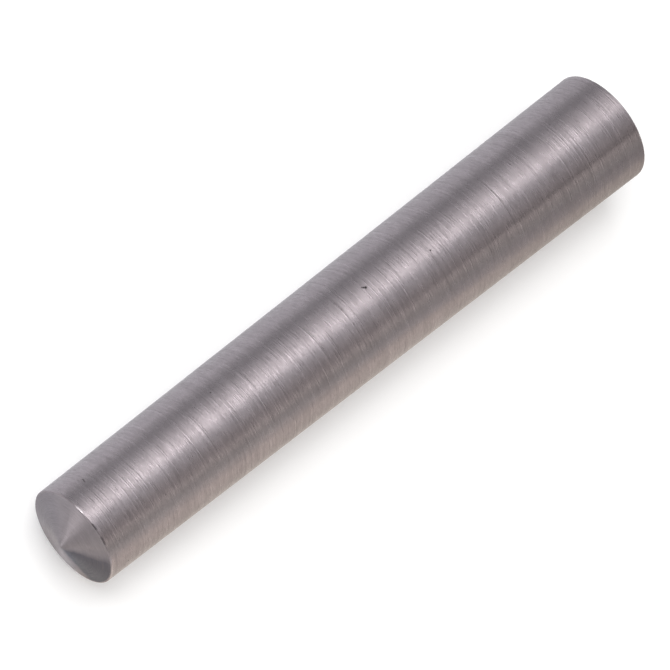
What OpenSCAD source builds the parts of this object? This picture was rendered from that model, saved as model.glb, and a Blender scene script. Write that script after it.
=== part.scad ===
// Plain ring mandrel: one bar of solid steel, ground to a slow 1:50 taper,
// with both ends turned to a shallow blunt cone and a small broken edge at
// each rim. Lengths in millimetres, angles in degrees. The axis lies along
// +X, from the small end to the large end, +Z is up, and the origin is the
// centre of the small rim.

/* [Taper] */
// Diameter at the small rim, where the taper starts
small_d = 16; // [6:0.5:25]
// Length of the taper from rim to rim, without the coned ends
taper_len = 110; // [60:5:180]
// Millimetres of length for each millimetre that the diameter grows
taper_ratio = 50; // [20:1:100]

/* [Coned ends] */
// Slope of the coned ends, measured from the plane of the rim
end_slope = 18; // [8:1:30]
// Radius of the blunt tip in the middle of each end
tip_r = 0.8; // [0.2:0.1:2]
// Radius of the broken edge where the cone meets the taper
edge_r = 0.2; // [0.1:0.05:0.4]

/* [Quality] */
// Facets of a full circle in the preview
facets = 192; // [64:32:256]

/* [Hidden] */

large_d = small_d + taper_len / taper_ratio;
r1 = small_d / 2;
r2 = large_d / 2;
half_angle = atan((r2 - r1) / taper_len);
edge_steps = 6;
tip_steps = 3;

// Height of the full cone on a rim of radius r, up to where its sides would meet
function cone_h(r) = r * tan(end_slope);

// An end is drawn as [distance beyond the rim, radius]. lean is the angle by
// which the side closes in toward this end: plus at the small end, minus at
// the large end.

// Centre of the circle of radius edge_r that touches both the side and the cone
function edge_centre(r, lean) =
    let (k = edge_r * tan((90 - end_slope - lean) / 2))
    [-k * cos(lean), r + k * sin(lean)] + edge_r * [-sin(lean), -cos(lean)];

// The rim's broken edge, from the side round to the cone
function edge_arc(r, lean) =
    [for (i = [0 : edge_steps])
        let (t = lean + (90 - end_slope - lean) * i / edge_steps)
        edge_centre(r, lean) + edge_r * [sin(t), cos(t)]];

// The blunt tip, from the cone to the axis
function tip_arc(r) =
    let (c = cone_h(r) - tip_r / cos(end_slope))
    [for (i = [0 : tip_steps])
        let (t = end_slope * (1 - i / tip_steps))
        [c + tip_r * cos(t), tip_r * sin(t)]];

function one_end(r, lean) = concat(edge_arc(r, lean), tip_arc(r));

// The half outline, from the tip of the small end to the tip of the large end,
// as [radius, height]
function half_outline() =
    let (a = one_end(r1, half_angle), b = one_end(r2, -half_angle))
    concat([for (i = [len(a) - 1 : -1 : 0]) [a[i][1], -a[i][0]]],
           [for (p = b) [p[1], taper_len + p[0]]]);

module mandrel_body() {
    color([0.58, 0.545, 0.555])
        rotate([0, 90, 0]) rotate_extrude($fn = facets) polygon(half_outline());
}

mandrel_body();
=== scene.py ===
import math

import bpy
import numpy as np
from mathutils import Matrix, Vector


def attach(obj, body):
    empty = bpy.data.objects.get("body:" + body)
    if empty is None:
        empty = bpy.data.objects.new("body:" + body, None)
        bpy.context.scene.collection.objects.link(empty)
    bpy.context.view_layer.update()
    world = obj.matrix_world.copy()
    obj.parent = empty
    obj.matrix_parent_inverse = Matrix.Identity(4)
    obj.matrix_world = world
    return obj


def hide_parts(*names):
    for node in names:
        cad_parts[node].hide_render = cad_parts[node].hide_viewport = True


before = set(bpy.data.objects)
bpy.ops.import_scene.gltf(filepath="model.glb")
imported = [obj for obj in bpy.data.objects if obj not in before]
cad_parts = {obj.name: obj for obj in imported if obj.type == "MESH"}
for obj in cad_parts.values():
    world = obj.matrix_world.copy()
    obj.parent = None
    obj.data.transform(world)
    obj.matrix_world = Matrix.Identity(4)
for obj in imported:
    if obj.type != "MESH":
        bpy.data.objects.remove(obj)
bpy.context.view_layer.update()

MM = 0.001

# ---------------------------------------------------------------- the bar's sizes, in mm
SMALL_R = 8.0
TAPER_LEN = 110.0
TAPER_RATIO = 50.0
LARGE_R = SMALL_R + TAPER_LEN / TAPER_RATIO / 2
LEAN = math.atan((LARGE_R - SMALL_R) / TAPER_LEN)
SLOPE = math.radians(18)
TIP_R = 0.8
EDGE_R = 0.2


def one_end(r, lean, step):
    """An end's outline as [distance beyond the rim, radius, outward normal angle from the radius], from the side to the tip."""
    k = EDGE_R * math.tan((math.pi / 2 - SLOPE - lean) / 2)
    cx = -k * math.cos(lean) - EDGE_R * math.sin(lean)
    cr = r + k * math.sin(lean) - EDGE_R * math.cos(lean)
    pts = []
    for i in range(9):
        t = lean + (math.pi / 2 - SLOPE - lean) * i / 8
        pts.append([cx + EDGE_R * math.sin(t), cr + EDGE_R * math.cos(t)])
    tip_c = r * math.tan(SLOPE) - TIP_R / math.cos(SLOPE)
    a = np.array(pts[-1])
    b = np.array([tip_c + TIP_R * math.cos(SLOPE), TIP_R * math.sin(SLOPE)])
    n = int(np.linalg.norm(b - a) / step)
    normal = np.array([math.cos(SLOPE), math.sin(SLOPE)])
    rng = np.random.RandomState(31 if lean > 0 else 47)
    marks = feed_marks(n + 1, step, rng, ((0.35, 0.0012), (0.9, 0.0016), (2.6, 0.0030)))
    for i in range(1, n):
        t = i / n
        fade = min(1.0, 6 * t, 6 * (1 - t))
        # the cone's side bows out a little between the rim and the tip
        bow = 0.030 * math.sin(math.pi * t)
        p = a + (b - a) * t + normal * (marks[i] * fade + bow)
        pts.append([float(p[0]), float(p[1])])
    for i in range(5):
        t = SLOPE * (1 - i / 4)
        pts.append([tip_c + TIP_R * math.cos(t), max(0.0, TIP_R * math.sin(t))])
    return pts


def feed_marks(n, step, rng, octaves):
    """Heights in mm of the shallow rings that grinding or turning leaves, every step mm: a sum of smoothed noise of the given (length, height) pairs."""
    x = np.arange(n) * step
    total = np.zeros(n)
    for length, height in octaves:
        knots = rng.uniform(-1, 1, int(n * step / length) + 4)
        at = x / length
        i = at.astype(int)
        f = at - i
        f = f * f * (3 - 2 * f)
        total += height * (knots[i] * (1 - f) + knots[i + 1] * f)
    return total


def outline():
    """The half outline as (x, radius) in mm from the small tip to the large tip, with the rings that grinding leaves on the side."""
    a = one_end(SMALL_R, LEAN, 0.10)
    b = one_end(LARGE_R, -LEAN, 0.10)
    pts = [[-x, r] for x, r in reversed(a)]
    x0, r0 = pts[-1]
    x1, r1 = TAPER_LEN + b[0][0], b[0][1]
    step = 0.25
    n = int((x1 - x0) / step)
    rng = np.random.RandomState(7)
    marks = feed_marks(n + 1, step, rng, ((0.6, 0.0007), (1.7, 0.0011), (5.0, 0.0021)))
    for i in range(1, n):
        t = i / n
        fade = min(1.0, 20 * t, 20 * (1 - t))
        pts.append([x0 + (x1 - x0) * t, r0 + (r1 - r0) * t + marks[i] * fade - 0.002 * fade])
    pts += [[TAPER_LEN + x, r] for x, r in b]
    return pts


def revolve(name, pts, segments):
    """A closed mesh turned round the X axis from an outline that starts and ends on the axis."""
    ring = [p for p in pts if p[1] > 1e-6]
    first, last = pts[0][0], pts[-1][0]
    verts = [(first * MM, 0, 0)]
    for x, r in ring:
        for s in range(segments):
            t = 2 * math.pi * s / segments
            verts.append((x * MM, r * MM * math.cos(t), r * MM * math.sin(t)))
    verts.append((last * MM, 0, 0))
    faces = []
    at = lambda k, s: 1 + k * segments + s % segments
    for s in range(segments):
        faces.append((0, at(0, s), at(0, s + 1))[::-1])
        faces.append((len(verts) - 1, at(len(ring) - 1, s + 1), at(len(ring) - 1, s))[::-1])
        for k in range(len(ring) - 1):
            faces.append((at(k, s), at(k + 1, s), at(k + 1, s + 1), at(k, s + 1))[::-1])
    mesh = bpy.data.meshes.new(name)
    mesh.from_pydata(verts, [], faces)
    mesh.validate()
    mesh.shade_smooth()
    obj = bpy.data.objects.new(name, mesh)
    bpy.context.scene.collection.objects.link(obj)
    return obj


bar = revolve("mandrel_ground_bar", outline(), 156)


# ---------------------------------------------------------------- material helpers
class Nodes:
    """A short way to write a node tree."""

    def __init__(self, tree):
        self.tree = tree
        tree.nodes.clear()

    def new(self, kind, **props):
        n = self.tree.nodes.new(kind)
        for k, v in props.items():
            setattr(n, k, v)
        return n

    def put(self, socket, value):
        if hasattr(value, "is_output"):
            self.tree.links.new(value, socket)
        else:
            socket.default_value = value

    def math(self, op, a, b=0.0, c=0.0, clamp=False):
        n = self.new("ShaderNodeMath", operation=op, use_clamp=clamp)
        for i, v in enumerate((a, b, c)):
            if i < len(n.inputs):
                self.put(n.inputs[i], v)
        return n.outputs[0]

    def vec(self, x, y, z):
        n = self.new("ShaderNodeCombineXYZ")
        for i, v in enumerate((x, y, z)):
            self.put(n.inputs[i], v)
        return n.outputs[0]

    def noise(self, vector, scale=1.0, detail=2.0, rough=0.5, distort=0.0):
        n = self.new("ShaderNodeTexNoise", noise_dimensions="3D")
        self.put(n.inputs["Vector"], vector)
        n.inputs["Scale"].default_value = scale
        n.inputs["Detail"].default_value = detail
        n.inputs["Roughness"].default_value = rough
        n.inputs["Distortion"].default_value = distort
        return n.outputs["Fac"]

    def span(self, value, a, b, c=0.0, d=1.0):
        """value from a..b to c..d, clamped."""
        n = self.new("ShaderNodeMapRange", clamp=True)
        self.put(n.inputs["Value"], value)
        for k, v in (("From Min", a), ("From Max", b), ("To Min", c), ("To Max", d)):
            self.put(n.inputs[k], v)
        return n.outputs["Result"]

    def mix(self, factor, a, b):
        n = self.new("ShaderNodeMix", data_type="RGBA")
        self.put(n.inputs["Factor"], factor)
        self.put(n.inputs["A"], a)
        self.put(n.inputs["B"], b)
        return n.outputs["Result"]


# Small pits in the ground surface, as (x, y, z, radius) in mm
PITS = []


def surface_point(x, turn, depth=0.0):
    """A point on the side at x mm, turned from the top toward -Y by turn degrees."""
    r = SMALL_R + x / TAPER_RATIO / 2 - depth
    t = math.radians(turn)
    return (x, -r * math.sin(t), r * math.cos(t))


for x, turn, radius in (
    (57.52, -17.5, 0.21),
    (57.25, -18.9, 0.15),
    (57.06, -19.8, 0.10),
    (69.5, -7.0, 0.13),
    (27.8, -31.4, 0.12),
    (4.12, -44.2, 0.15),
    (4.02, -42.0, 0.14),
    (3.95, -40.2, 0.10),
    (3.2, 68.0, 0.11),
    (83.0, 128.0, 0.17),
    (44.0, -141.0, 0.14),
):
    PITS.append((*surface_point(x, turn), radius))


# Lighter spots on the rims: worn edges, and in the first row a painted highlight on the small rim
RIM_WEAR_AND_GLINT = (
    (0.0, SMALL_R, -18.5, 1.8, 0.5),
    (0.0, SMALL_R, 72.0, 5.0, 0.45),
    (0.0, SMALL_R, 150.0, 2.5, 0.7),
    (0.0, SMALL_R, 228.0, 4.0, 0.6),
    (TAPER_LEN, LARGE_R, 35.0, 3.0, 0.6),
    (TAPER_LEN, LARGE_R, 118.0, 4.4, 0.8),
    (TAPER_LEN, LARGE_R, 205.0, 2.4, 0.9),
    (TAPER_LEN, LARGE_R, 300.0, 3.6, 0.5),
)

# Two painted shade marks in the small rim, as (x, rim radius, turn, length, amount)
RIM_SHADE_MARKS = (
    (0.0, SMALL_R, 5.0, 1.4, 0.7),
    (0.0, SMALL_R, 22.5, 1.6, 0.6),
)


def steel():
    m = bpy.data.materials.new("ground_steel")
    m.use_nodes = True
    N = Nodes(m.node_tree)
    out = N.new("ShaderNodeOutputMaterial")
    bsdf = N.new("ShaderNodeBsdfPrincipled")
    N.tree.links.new(bsdf.outputs[0], out.inputs["Surface"])

    place = N.new("ShaderNodeTexCoord").outputs["Object"]
    xyz = N.new("ShaderNodeSeparateXYZ")
    N.put(xyz.inputs[0], place)
    x_mm = N.math("MULTIPLY", xyz.outputs[0], 1000.0)
    y_mm = N.math("MULTIPLY", xyz.outputs[1], 1000.0)
    z_mm = N.math("MULTIPLY", xyz.outputs[2], 1000.0)
    rad = N.math("SQRT", N.math("ADD", N.math("MULTIPLY", y_mm, y_mm), N.math("MULTIPLY", z_mm, z_mm)))
    safe = N.math("MAXIMUM", rad, 0.02)
    cy = N.math("DIVIDE", y_mm, safe)
    cz = N.math("DIVIDE", z_mm, safe)

    # 1 on the coned ends, 0 on the side
    end = N.math(
        "ADD",
        N.span(x_mm, -0.05, -0.12),
        N.span(x_mm, TAPER_LEN + 0.05, TAPER_LEN + 0.12),
        clamp=True,
    )
    # how far along the outline: x on the side, radius on the ends
    along = N.math(
        "ADD",
        N.math("MULTIPLY", x_mm, N.math("SUBTRACT", 1.0, end)),
        N.math("MULTIPLY", N.math("ADD", rad, 251.0), end),
    )

    def rings(per_mm, turns, detail, rough=0.5, shift=0.0):
        """Noise that runs round the axis: per_mm lines a millimetre along the outline, fading turns times round."""
        return N.noise(
            N.vec(
                N.math("MULTIPLY_ADD", along, per_mm, shift),
                N.math("MULTIPLY", cy, turns),
                N.math("MULTIPLY", cz, turns),
            ),
            detail=detail,
            rough=rough,
        )

    fine = rings(5.6, 0.7, 2.0, 0.6)
    hair = rings(7.0, 9.0, 2.0, 0.6, 300.0)
    medium = rings(1.7, 0.5, 2.0, 0.6, 40.0)
    broad = rings(0.35, 0.5, 2.0, 0.5, 90.0)
    patches = N.noise(place, scale=160.0, detail=3.0, rough=0.6)
    where = rings(0.8, 4.5, 2.0, 0.55, 150.0)
    shown = N.span(where, 0.34, 0.66, 0.4, 1.15)  # the lines fade in and out

    # scratches: only the deepest of the fine lines
    scratch = N.math("MULTIPLY", N.span(rings(3.1, 0.8, 1.0, 0.5, 200.0), 0.66, 0.76), shown)

    # pits
    pit = None
    for px, py, pz, radius in PITS:
        d = N.new("ShaderNodeVectorMath", operation="DISTANCE")
        N.put(d.inputs[0], N.vec(x_mm, y_mm, z_mm))
        d.inputs[1].default_value = (px, py, pz)
        one = N.span(d.outputs["Value"], radius, radius * 0.45)
        pit = one if pit is None else N.math("MAXIMUM", pit, one)

    tone = N.math(
        "ADD",
        N.math(
            "ADD",
            N.math("MULTIPLY", N.math("MULTIPLY", N.math("SUBTRACT", fine, 0.5), shown), 0.9),
            N.math("MULTIPLY", N.math("SUBTRACT", hair, 0.5), 0.85),
        ),
        N.math(
            "ADD",
            N.math("MULTIPLY", N.math("SUBTRACT", medium, 0.5), 0.35),
            N.math("ADD", N.math("MULTIPLY", N.math("SUBTRACT", broad, 0.5), 0.5), N.math("MULTIPLY", N.math("SUBTRACT", patches, 0.5), 0.25)),
        ),
    )
    calm = N.math("MULTIPLY_ADD", end, -0.45, 1.0)  # the marks are fainter on the ends
    shade = N.math("MULTIPLY_ADD", tone, calm, 0.5, clamp=True)
    colour = N.mix(shade, (0.232, 0.205, 0.217, 1), (0.341, 0.303, 0.320, 1))
    # the turned ends are a shade darker than the ground side
    colour = N.mix(N.math("MULTIPLY", end, 0.35), colour, (0.216, 0.197, 0.207, 1))

    # the small end has painted reflections: one sector is painted dark as painted shade, standing for the bar's
    # reflected shadow, and is a little smoother, and the sectors beside it are painted brighter as painted light
    ragged = N.math("MULTIPLY", N.math("SUBTRACT", N.noise(place, scale=600.0, detail=2.0), 0.5), 0.8)

    def past(turn, soft, spread):
        """0 to 1 across the half plane at turn degrees from +Y toward +Z, over soft mm to each side of it at the tip and spread more for each mm out from there."""
        t = math.radians(turn)
        side = N.math("SUBTRACT", N.math("MULTIPLY", z_mm, math.cos(t)), N.math("MULTIPLY", y_mm, math.sin(t)))
        reach = N.math("MULTIPLY_ADD", rad, spread, soft)
        return N.span(N.math("ADD", side, ragged), N.math("MULTIPLY", reach, -1.0), reach)

    small_end = N.span(x_mm, -0.05, -0.12)
    upper = past(134.0, 0.3, 0.16)
    painted_dark_wedge = N.math("MULTIPLY", N.math("MULTIPLY", upper, past(35.0, 0.35, 0.06)), small_end)
    beside = N.math("MULTIPLY", N.math("MULTIPLY", past(104.0, 0.5, 0.12), N.math("SUBTRACT", 1.0, upper)), small_end)
    painted_light_sector = N.math("MULTIPLY", N.math("MULTIPLY", past(232.0, 0.9, 0.0), past(145.0, 1.3, 0.0)), small_end)
    # painted shade: the dark sector of the small end
    colour = N.mix(N.math("MULTIPLY", painted_dark_wedge, N.math("MULTIPLY_ADD", past(176.0, 1.0, 0.4), 0.28, 0.71)), colour, (0.056, 0.062, 0.091, 1))
    # painted light: two more sectors of the small end made brighter
    colour = N.mix(N.math("MULTIPLY", beside, 0.4), colour, (0.36, 0.325, 0.33, 1))
    colour = N.mix(N.math("MULTIPLY", painted_light_sector, 0.45), colour, (0.40, 0.375, 0.39, 1))
    # painted light: one more sector of the small end lifted brighter
    painted_light_lift = N.math("MULTIPLY", N.math("MULTIPLY", past(14.0, 1.0, 0.3), N.math("SUBTRACT", 1.0, past(64.0, 0.5, 0.12))), small_end)
    colour = N.mix(N.math("MULTIPLY", painted_light_lift, 0.25), colour, (0.40, 0.375, 0.40, 1))
    colour = N.mix(N.math("MULTIPLY", scratch, 0.35), colour, (0.22, 0.20, 0.205, 1))
    # the rims are lighter here and there, as (x, rim radius, turn, length in mm, how bright): worn spots, and on the
    # small rim at -18.5 degrees a painted glint
    rim_wear_and_glint = None
    for x, r, turn, length, amount in RIM_WEAR_AND_GLINT:
        t = math.radians(turn)
        d = N.new("ShaderNodeVectorMath", operation="DISTANCE")
        N.put(d.inputs[0], N.vec(x_mm, y_mm, z_mm))
        d.inputs[1].default_value = (x, -r * math.sin(t), r * math.cos(t))
        one = N.span(d.outputs["Value"], length * 0.5, length * 0.25, 0.0, amount)
        e = N.new("ShaderNodeVectorMath", operation="LENGTH")
        N.put(e.inputs[0], N.vec(N.math("SUBTRACT", x_mm, x), N.math("SUBTRACT", rad, r), 0.0))
        one = N.math("MULTIPLY", one, N.span(e.outputs["Value"], 0.20, 0.08))
        rim_wear_and_glint = one if rim_wear_and_glint is None else N.math("MAXIMUM", rim_wear_and_glint, one)
    # worn spots and one painted highlight on the rims
    colour = N.mix(rim_wear_and_glint, colour, (0.62, 0.58, 0.60, 1))
    painted_rim_shade = None
    for x, r, turn, length, amount in RIM_SHADE_MARKS:
        t = math.radians(turn)
        d = N.new("ShaderNodeVectorMath", operation="DISTANCE")
        N.put(d.inputs[0], N.vec(x_mm, y_mm, z_mm))
        d.inputs[1].default_value = (x, -r * math.sin(t), r * math.cos(t))
        one = N.span(d.outputs["Value"], length * 0.5, length * 0.3, 0.0, amount)
        e = N.new("ShaderNodeVectorMath", operation="LENGTH")
        N.put(e.inputs[0], N.vec(N.math("SUBTRACT", x_mm, x), N.math("SUBTRACT", rad, r), 0.0))
        one = N.math("MULTIPLY", one, N.span(e.outputs["Value"], 0.24, 0.12))
        painted_rim_shade = one if painted_rim_shade is None else N.math("MAXIMUM", painted_rim_shade, one)
    # painted shade: two dark marks on the small rim
    colour = N.mix(painted_rim_shade, colour, (0.06, 0.055, 0.06, 1))
    colour = N.mix(pit, colour, (0.05, 0.045, 0.045, 1))
    N.put(bsdf.inputs["Base Color"], colour)
    bsdf.inputs["Metallic"].default_value = 1.0

    rough = N.math("ADD", N.math("MULTIPLY", N.math("SUBTRACT", medium, 0.5), 0.08), N.math("ADD", N.math("MULTIPLY_ADD", end, 0.14, 0.34), N.math("MULTIPLY", N.math("SUBTRACT", patches, 0.5), 0.05)))
    # the fine lines are rougher and smoother by turns, which breaks up a highlight more than a dark band
    streak = N.math(
        "ADD",
        N.math("MULTIPLY", N.math("MULTIPLY", N.math("SUBTRACT", 0.5, fine), shown), 0.56),
        N.math("MULTIPLY", N.math("SUBTRACT", 0.5, hair), 0.46),
    )
    rough = N.math("MULTIPLY_ADD", streak, calm, rough)
    rough = N.math("SUBTRACT", rough, N.math("MULTIPLY_ADD", painted_dark_wedge, 0.08, N.math("MULTIPLY", rim_wear_and_glint, 0.14)))
    N.put(bsdf.inputs["Roughness"], N.math("ADD", rough, N.math("MULTIPLY", pit, 0.4)))
    bsdf.inputs["Anisotropic"].default_value = 0.88
    bsdf.inputs["Anisotropic Rotation"].default_value = 0.25
    N.put(bsdf.inputs["Tangent"], N.new("ShaderNodeTangent", direction_type="RADIAL", axis="X").outputs[0])

    height = N.math(
        "SUBTRACT",
        N.math(
            "ADD",
            N.math("MULTIPLY_ADD", hair, 0.16, N.math("MULTIPLY", N.math("SUBTRACT", fine, 0.5), shown)),
            N.math("MULTIPLY", medium, 0.4),
        ),
        N.math("MULTIPLY", scratch, 0.3),
    )
    height = N.math("MULTIPLY", height, N.math("MULTIPLY_ADD", painted_dark_wedge, -0.3, calm))
    height = N.math("SUBTRACT", height, N.math("MULTIPLY", pit, 6.0))
    bump = N.new("ShaderNodeBump")
    bump.inputs["Strength"].default_value = 1.0
    bump.inputs["Distance"].default_value = 0.0001
    N.put(bump.inputs["Height"], height)
    N.put(bsdf.inputs["Normal"], bump.outputs[0])
    return m


bar.data.materials.append(steel())
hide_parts("mandrel_body")
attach(bar, "root")


# ---------------------------------------------------------------- floor
def floor():
    """A pale floor that leans with the taper, so that the bar lies on it along its whole length."""
    size, n = 1.6, 24
    lean = math.tan(LEAN)
    verts, faces = [], []
    for i in range(n + 1):
        for j in range(n + 1):
            x = 0.055 + size * (2 * i / n - 1)
            y = size * (2 * j / n - 1)
            verts.append((x, y, -SMALL_R * MM / math.cos(LEAN) - x * lean - 0.00001))
    for i in range(n):
        for j in range(n):
            a = i * (n + 1) + j
            faces.append((a, a + n + 1, a + n + 2, a + 1))
    mesh = bpy.data.meshes.new("floor")
    mesh.from_pydata(verts, [], faces)
    obj = bpy.data.objects.new("floor", mesh)
    bpy.context.scene.collection.objects.link(obj)
    m = bpy.data.materials.new("pale_floor")
    m.use_nodes = True
    b = m.node_tree.nodes["Principled BSDF"]
    b.inputs["Base Color"].default_value = (0.86, 0.86, 0.86, 1)
    b.inputs["Roughness"].default_value = 1.0
    b.inputs["Specular IOR Level"].default_value = 0.0
    # a faint glow, as of paper lit from below
    b.inputs["Emission Color"].default_value = (0.74, 0.74, 0.74, 1)
    b.inputs["Emission Strength"].default_value = 0.22
    mesh.materials.append(m)
    return obj


floor()

# ---------------------------------------------------------------- light
world = bpy.data.worlds.new("studio")
bpy.context.scene.world = world
world.use_nodes = True
back = world.node_tree.nodes["Background"]
back.inputs["Strength"].default_value = 0.32
W = Nodes.__new__(Nodes)
W.tree = world.node_tree
sky = W.new("ShaderNodeSeparateXYZ")
W.put(sky.inputs[0], W.new("ShaderNodeTexCoord").outputs["Generated"])
# a little warmer from the -Y side than from the +Y side
W.put(back.inputs["Color"], W.mix(W.span(sky.outputs[1], 0.9, -0.9), (0.985, 1.0, 1.03, 1), (1.035, 0.965, 0.92, 1)))


def panel(name, turn, distance, width, length, power, colour=(1, 1, 1), lean=0.0, centre=(0.055, 0, 0)):
    """A soft strip light whose length runs along X. turn is from the top toward -Y, and lean moves it toward +X, both in degrees."""
    light = bpy.data.lights.new(name, "AREA")
    light.shape = "RECTANGLE"
    light.size, light.size_y = length, width
    light.energy = power
    light.color = colour
    t, l = math.radians(turn), math.radians(lean)
    out = Vector((math.sin(l), -math.sin(t) * math.cos(l), math.cos(t) * math.cos(l)))
    obj = bpy.data.objects.new(name, light)
    z = out
    x = (Vector((1, 0, 0)) - z * z.x).normalized()
    y = z.cross(x)
    rot = Matrix((x, y, z)).transposed().to_4x4()
    obj.matrix_world = Matrix.Translation(Vector(centre) + out * distance) @ rot
    bpy.context.scene.collection.objects.link(obj)
    return obj


# One broad soft box overhead, a little toward +Y, that fades toward its edges, with low fill on both sides.
# Each row is where it is (turn), the watts that a strip 10 degrees wide would have there, how warm it is and how green.
SOFT_BOX = (
    (-85, 0.31, -0.5, 0.0),
    (-75, 0.22, -0.6, 0.0),
    (-65, 0.24, -0.6, 0.0),
    (-55, 0.43, -0.4, 0.0),
    (-45, 0.68, -0.1, 0.0),
    (-35, 1.05, 0.0, 0.0),
    (-25, 1.42, 0.1, 0.0),
    (-15, 2.04, 0.15, 0.0),
    (-5, 1.49, -0.1, 0.0),
    (5, 0.77, -0.5, 0.0),
    (15, 0.56, -0.5, 0.0),
    (25, 0.42, 0.1, 0.0),
    (35, 0.27, 0.6, 0.0),
    (45, 0.37, 1.3, 0.0),
    (55, 0.59, 1.5, 0.6),
    (65, 0.23, 0.7, 1.2),
    (75, 0.40, 0.3, 1.2),
    (85, 0.44, 1.2, 0.6),
)
turns = [row[0] for row in SOFT_BOX]
for k in range(36):
    turn = -87.5 + 5 * k
    watts = float(np.interp(turn, turns, [row[1] for row in SOFT_BOX])) / 2
    warm = float(np.interp(turn, turns, [row[2] for row in SOFT_BOX]))
    green = float(np.interp(turn, turns, [row[3] for row in SOFT_BOX]))
    tint = (1 + 0.03 * warm - 0.03 * green, 1 - 0.02 * warm + 0.02 * green, 1 - 0.06 * warm - 0.02 * green)
    panel("strip_%02d" % k, turn, 0.9, 0.0786, 1.2, watts, tint)


def spot_panel(name, toward, size, watts, distance=0.9):
    """A small square soft light in a direction from the origin."""
    light = bpy.data.lights.new(name, "AREA")
    light.shape = "SQUARE"
    light.size = size
    light.energy = watts
    obj = bpy.data.objects.new(name, light)
    out = Vector(toward).normalized()
    obj.matrix_world = Matrix.Translation(out * distance) @ out.to_track_quat("Z", "Y").to_matrix().to_4x4()
    bpy.context.scene.collection.objects.link(obj)
    return obj


def flag(name, corners, level, tint=(1.02, 0.99, 0.97), along=None, away=None):
    """A card that only shows as a reflection, as a studio flag does. corners are four points in mm.
    along and away are (from mm, to mm, from factor, to factor), by which its level changes with x and with the distance from the axis in y."""
    mesh = bpy.data.meshes.new(name)
    mesh.from_pydata([[v * MM for v in c] for c in corners], [], [(0, 1, 2, 3)])
    obj = bpy.data.objects.new(name, mesh)
    bpy.context.scene.collection.objects.link(obj)
    m = bpy.data.materials.new(name)
    m.use_nodes = True
    b = m.node_tree.nodes["Principled BSDF"]
    b.inputs["Base Color"].default_value = (0.02, 0.02, 0.02, 1)
    b.inputs["Roughness"].default_value = 1.0
    b.inputs["Specular IOR Level"].default_value = 0.0
    b.inputs["Emission Color"].default_value = (*tint, 1)
    N = Nodes.__new__(Nodes)
    N.tree = m.node_tree
    xyz = N.new("ShaderNodeSeparateXYZ")
    N.put(xyz.inputs[0], N.new("ShaderNodeTexCoord").outputs["Object"])
    strength = N.math("ADD", level, 0.0)
    if along:
        strength = N.math("MULTIPLY", strength, N.span(xyz.outputs[0], along[0] * MM, along[1] * MM, along[2], along[3]))
    if away:
        strength = N.math("MULTIPLY", strength, N.span(N.math("ABSOLUTE", xyz.outputs[1]), away[0] * MM, away[1] * MM, away[2], away[3]))
    N.put(b.inputs["Emission Strength"], strength)
    mesh.materials.append(m)
    obj.visible_camera = obj.visible_diffuse = obj.visible_shadow = obj.visible_transmission = False
    return obj


def floor_card(name, side, level, tint, along, away):
    """A card just above the floor, on the +Y side (1) or the -Y side (-1)."""
    at = lambda x, y: (x, side * y, -SMALL_R / math.cos(LEAN) - x * math.tan(LEAN) + 0.1)
    flag(name, (at(-15, 4), at(400, 4), at(400, 500), at(-15, 500)), level, tint, along, away)


# cards on both sides of the bar, warm on the -Y side and cool on the +Y side
floor_card("card_warm", -1, 1.155, (1.075, 0.99, 0.885), (68, 125, 1.0, 0.717), (13, 40, 0.795, 1.0))
floor_card("card_cool", 1, 1.15, (0.98, 0.995, 1.035), (20, 130, 1.0, 0.92), (10, 22, 0.76, 1.0))

# beside the large end on the -Y side: a broad card low down, and a narrow one higher up
flag("flag_low", ((88, -36, -5), (360, -36, -5), (360, -150, 45), (88, -150, 45)), 1.0, along=(88, 150, 0.72, 0.42))
flag("flag_narrow", ((92, -38.8, 48.4), (180, -38.8, 48.4), (180, -41.4, 45.8), (92, -41.4, 45.8)), 0.02)

# a low light before the small end, which the turned face catches in one sector
spot_panel("end_light", (-0.919, 0.335, 0.208), 0.3, 1.5)

# ---------------------------------------------------------------- camera
camera = bpy.data.cameras.new("camera")
camera.lens = 332.257
camera.sensor_width = 36.0
camera.clip_start, camera.clip_end = 0.05, 20.0
cam = bpy.data.objects.new("camera", camera)
right = Vector((0.70488881, -0.61380208, 0.35549793))
up = Vector((0.54804834, 0.78945995, 0.27639827))
rot = Matrix((right, up, right.cross(up))).transposed().to_4x4()
cam.matrix_world = Matrix.Translation((-0.35598146, -0.00016022, 0.81079193)) @ rot
bpy.context.scene.collection.objects.link(cam)
bpy.context.scene.camera = cam
bpy.context.scene.view_settings.view_transform = "Standard"
